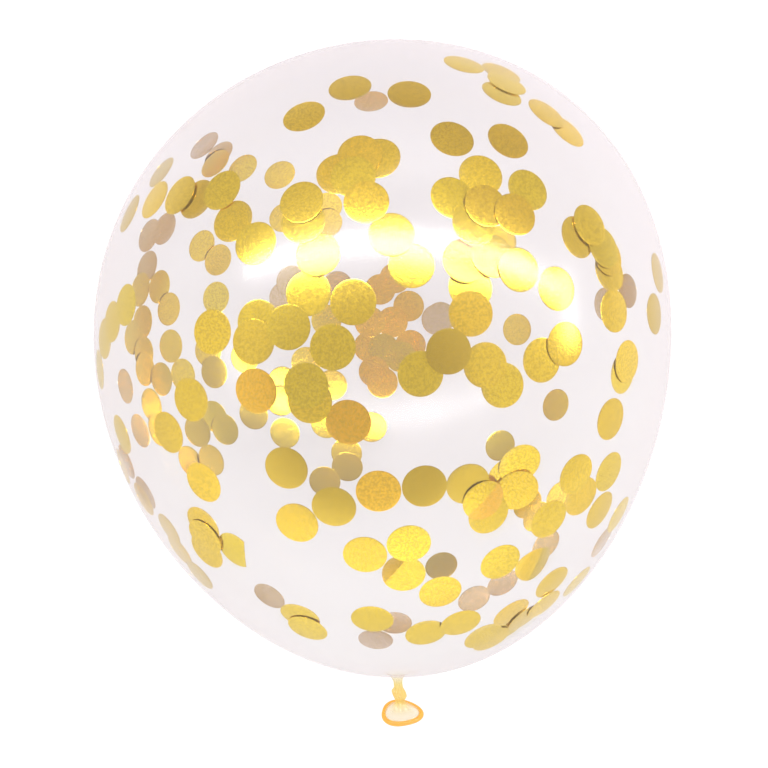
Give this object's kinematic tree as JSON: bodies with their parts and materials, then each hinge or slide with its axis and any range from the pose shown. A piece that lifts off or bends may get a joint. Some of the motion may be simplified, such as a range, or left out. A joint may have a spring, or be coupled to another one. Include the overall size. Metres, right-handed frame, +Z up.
{
  "type": "confetti balloon",
  "caption": "Clear latex party balloon, egg-shaped, knotted above a rolled lip, with round gold foil confetti clinging to its inside. Lies on its side.",
  "frame": {"origin": "middle of the underside of the lying balloon, on the floor", "axes": "+Z up; +Y along the balloon towards its crown, -Y towards the knot and the lip; +X to the right, looked at from above with the crown away"},
  "size_m": [0.2998, 0.3584, 0.2987],
  "materials": {
    "clear_latex": "clear stretched film, faintly milky and glossy; amber where it is thick, at the neck and the lip",
    "gold_foil": "gold metallised film with a soft satin mirror"
  },
  "bodies": {
    "root": {"balloon": "clear_latex"}
  },
  "joints": []
}
